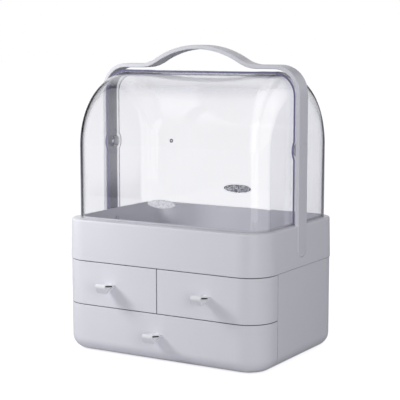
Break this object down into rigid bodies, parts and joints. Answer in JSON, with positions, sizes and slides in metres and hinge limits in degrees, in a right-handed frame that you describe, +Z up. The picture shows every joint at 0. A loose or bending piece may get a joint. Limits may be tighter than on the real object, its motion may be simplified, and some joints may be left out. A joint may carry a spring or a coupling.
{
  "type": "makeup box",
  "caption": "Portable makeup box with a drawer cabinet under a deep tray, clear domed covers that swing on side pins, and an arched carrying handle.",
  "frame": {"origin": "on the ground, under the middle of the whole outline, pulls included", "axes": "+Z up, -Y out of the drawer fronts, +X to the right seen from the front"},
  "size_m": [0.2712, 0.2195, 0.3626],
  "materials": {
    "white_case": "satin moulded ABS",
    "white_front": "satin moulded ABS",
    "white_box": "satin moulded ABS",
    "white_handle": "satin moulded ABS",
    "pin_white": "satin",
    "pin_clear": "clear",
    "clear_cover": "polished clear",
    "pull_white": "satin",
    "bright_strip": "mirror plated",
    "screw_steel": "zinc plated",
    "foot_rubber": "matt"
  },
  "bodies": {
    "base": {"cabinet_shell": "white_case", "rubber_feet": "foot_rubber", "middle_deck": "white_case", "centre_partition": "white_case", "tray": "white_case", "tray_screws": "screw_steel", "handle_band": "white_handle", "handle_screws": "screw_steel", "left_pivot_pin": "pin_white", "right_pivot_pin": "pin_white", "left_pin_retainer": "pin_clear", "right_pin_retainer": "pin_clear"},
    "front_cover": {"front_cover": "clear_cover"},
    "rear_cover": {"rear_cover": "clear_cover"},
    "left_drawer": {"left_drawer_front": "white_front", "left_drawer_box": "white_box", "left_pull": "pull_white", "left_pull_strip": "bright_strip", "left_pull_screw": "screw_steel"},
    "right_drawer": {"right_drawer_front": "white_front", "right_drawer_box": "white_box", "right_pull": "pull_white", "right_pull_strip": "bright_strip", "right_pull_screw": "screw_steel"},
    "lower_drawer": {"lower_drawer_front": "white_front", "lower_drawer_box": "white_box", "lower_pull": "pull_white", "lower_pull_strip": "bright_strip", "lower_pull_screw": "screw_steel"}
  },
  "joints": [
    {"name": "front_cover_hinge", "type": "hinge", "parent": "base", "child": "front_cover", "pos_m": [0, 0.01015, 0.2438], "axis": [1, 0, 0], "range_deg": [-90, 0]},
    {"name": "rear_cover_hinge", "type": "hinge", "parent": "base", "child": "rear_cover", "pos_m": [0, 0.01015, 0.2438], "axis": [1, 0, 0], "range_deg": [0, 90]},
    {"name": "left_drawer_slide", "type": "slide", "parent": "base", "child": "left_drawer", "axis": [0, -1, 0], "range_m": [0, 0.12]},
    {"name": "right_drawer_slide", "type": "slide", "parent": "base", "child": "right_drawer", "axis": [0, -1, 0], "range_m": [0, 0.12]},
    {"name": "lower_drawer_slide", "type": "slide", "parent": "base", "child": "lower_drawer", "axis": [0, -1, 0], "range_m": [0, 0.12]}
  ]
}
